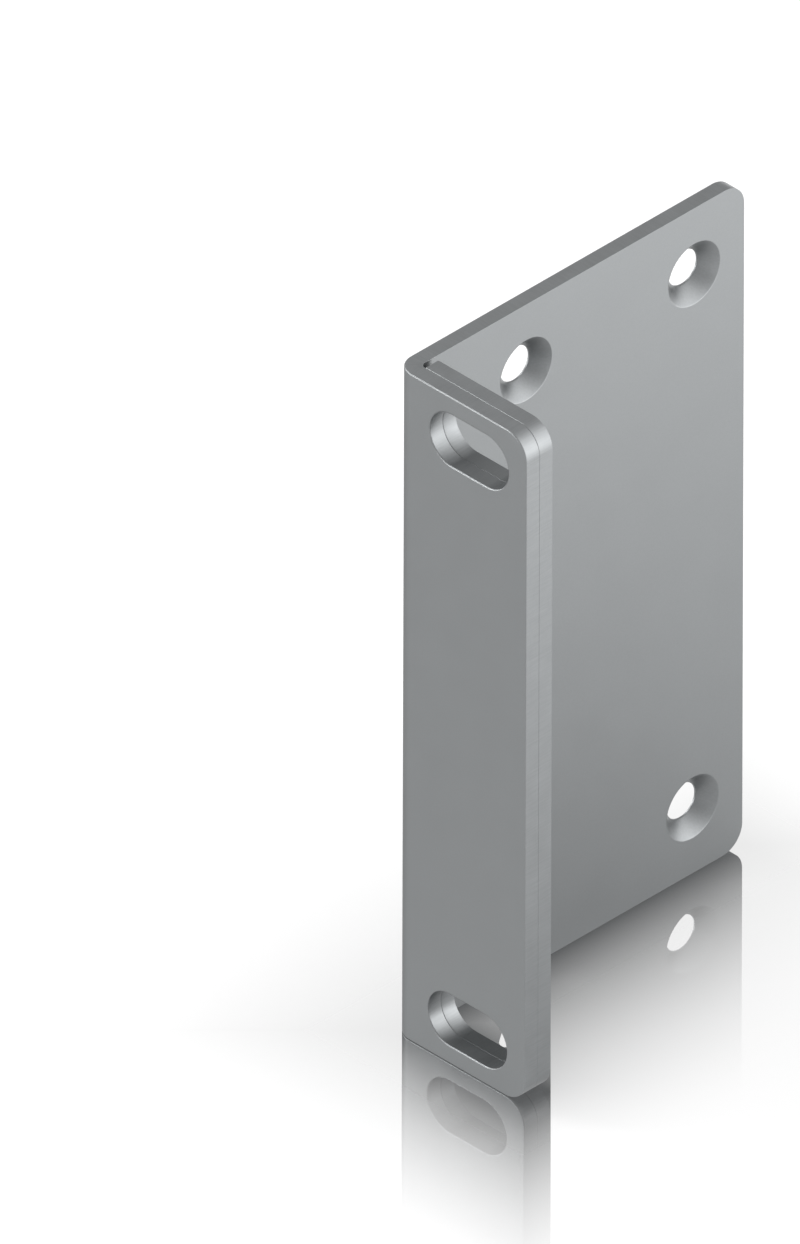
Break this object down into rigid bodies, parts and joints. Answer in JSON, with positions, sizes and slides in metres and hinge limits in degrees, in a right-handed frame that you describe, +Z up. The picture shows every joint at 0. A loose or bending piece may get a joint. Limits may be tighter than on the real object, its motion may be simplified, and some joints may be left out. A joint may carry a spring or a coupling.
{
  "type": "rack mount ear bracket",
  "caption": "L-shaped rack ear: a side plate with countersunk screw holes, folded into a front ear with slots for rack bolts, doubled by a backing plate.",
  "frame": {"origin": "middle of the bracket's footprint, level with the lower cut edges", "axes": "+Z up along the rack's height, -Y towards the front of the rack (the ear's front face looks that way), -X towards the case that the side plate is screwed to"},
  "size_m": [0.02, 0.0514, 0.0875],
  "materials": {
    "bracket_sheet": "satin, very fine grain",
    "backing_sheet": "satin, very fine grain"
  },
  "bodies": {
    "root": {"folded_bracket": "bracket_sheet", "ear_backing_plate": "backing_sheet"}
  },
  "joints": []
}
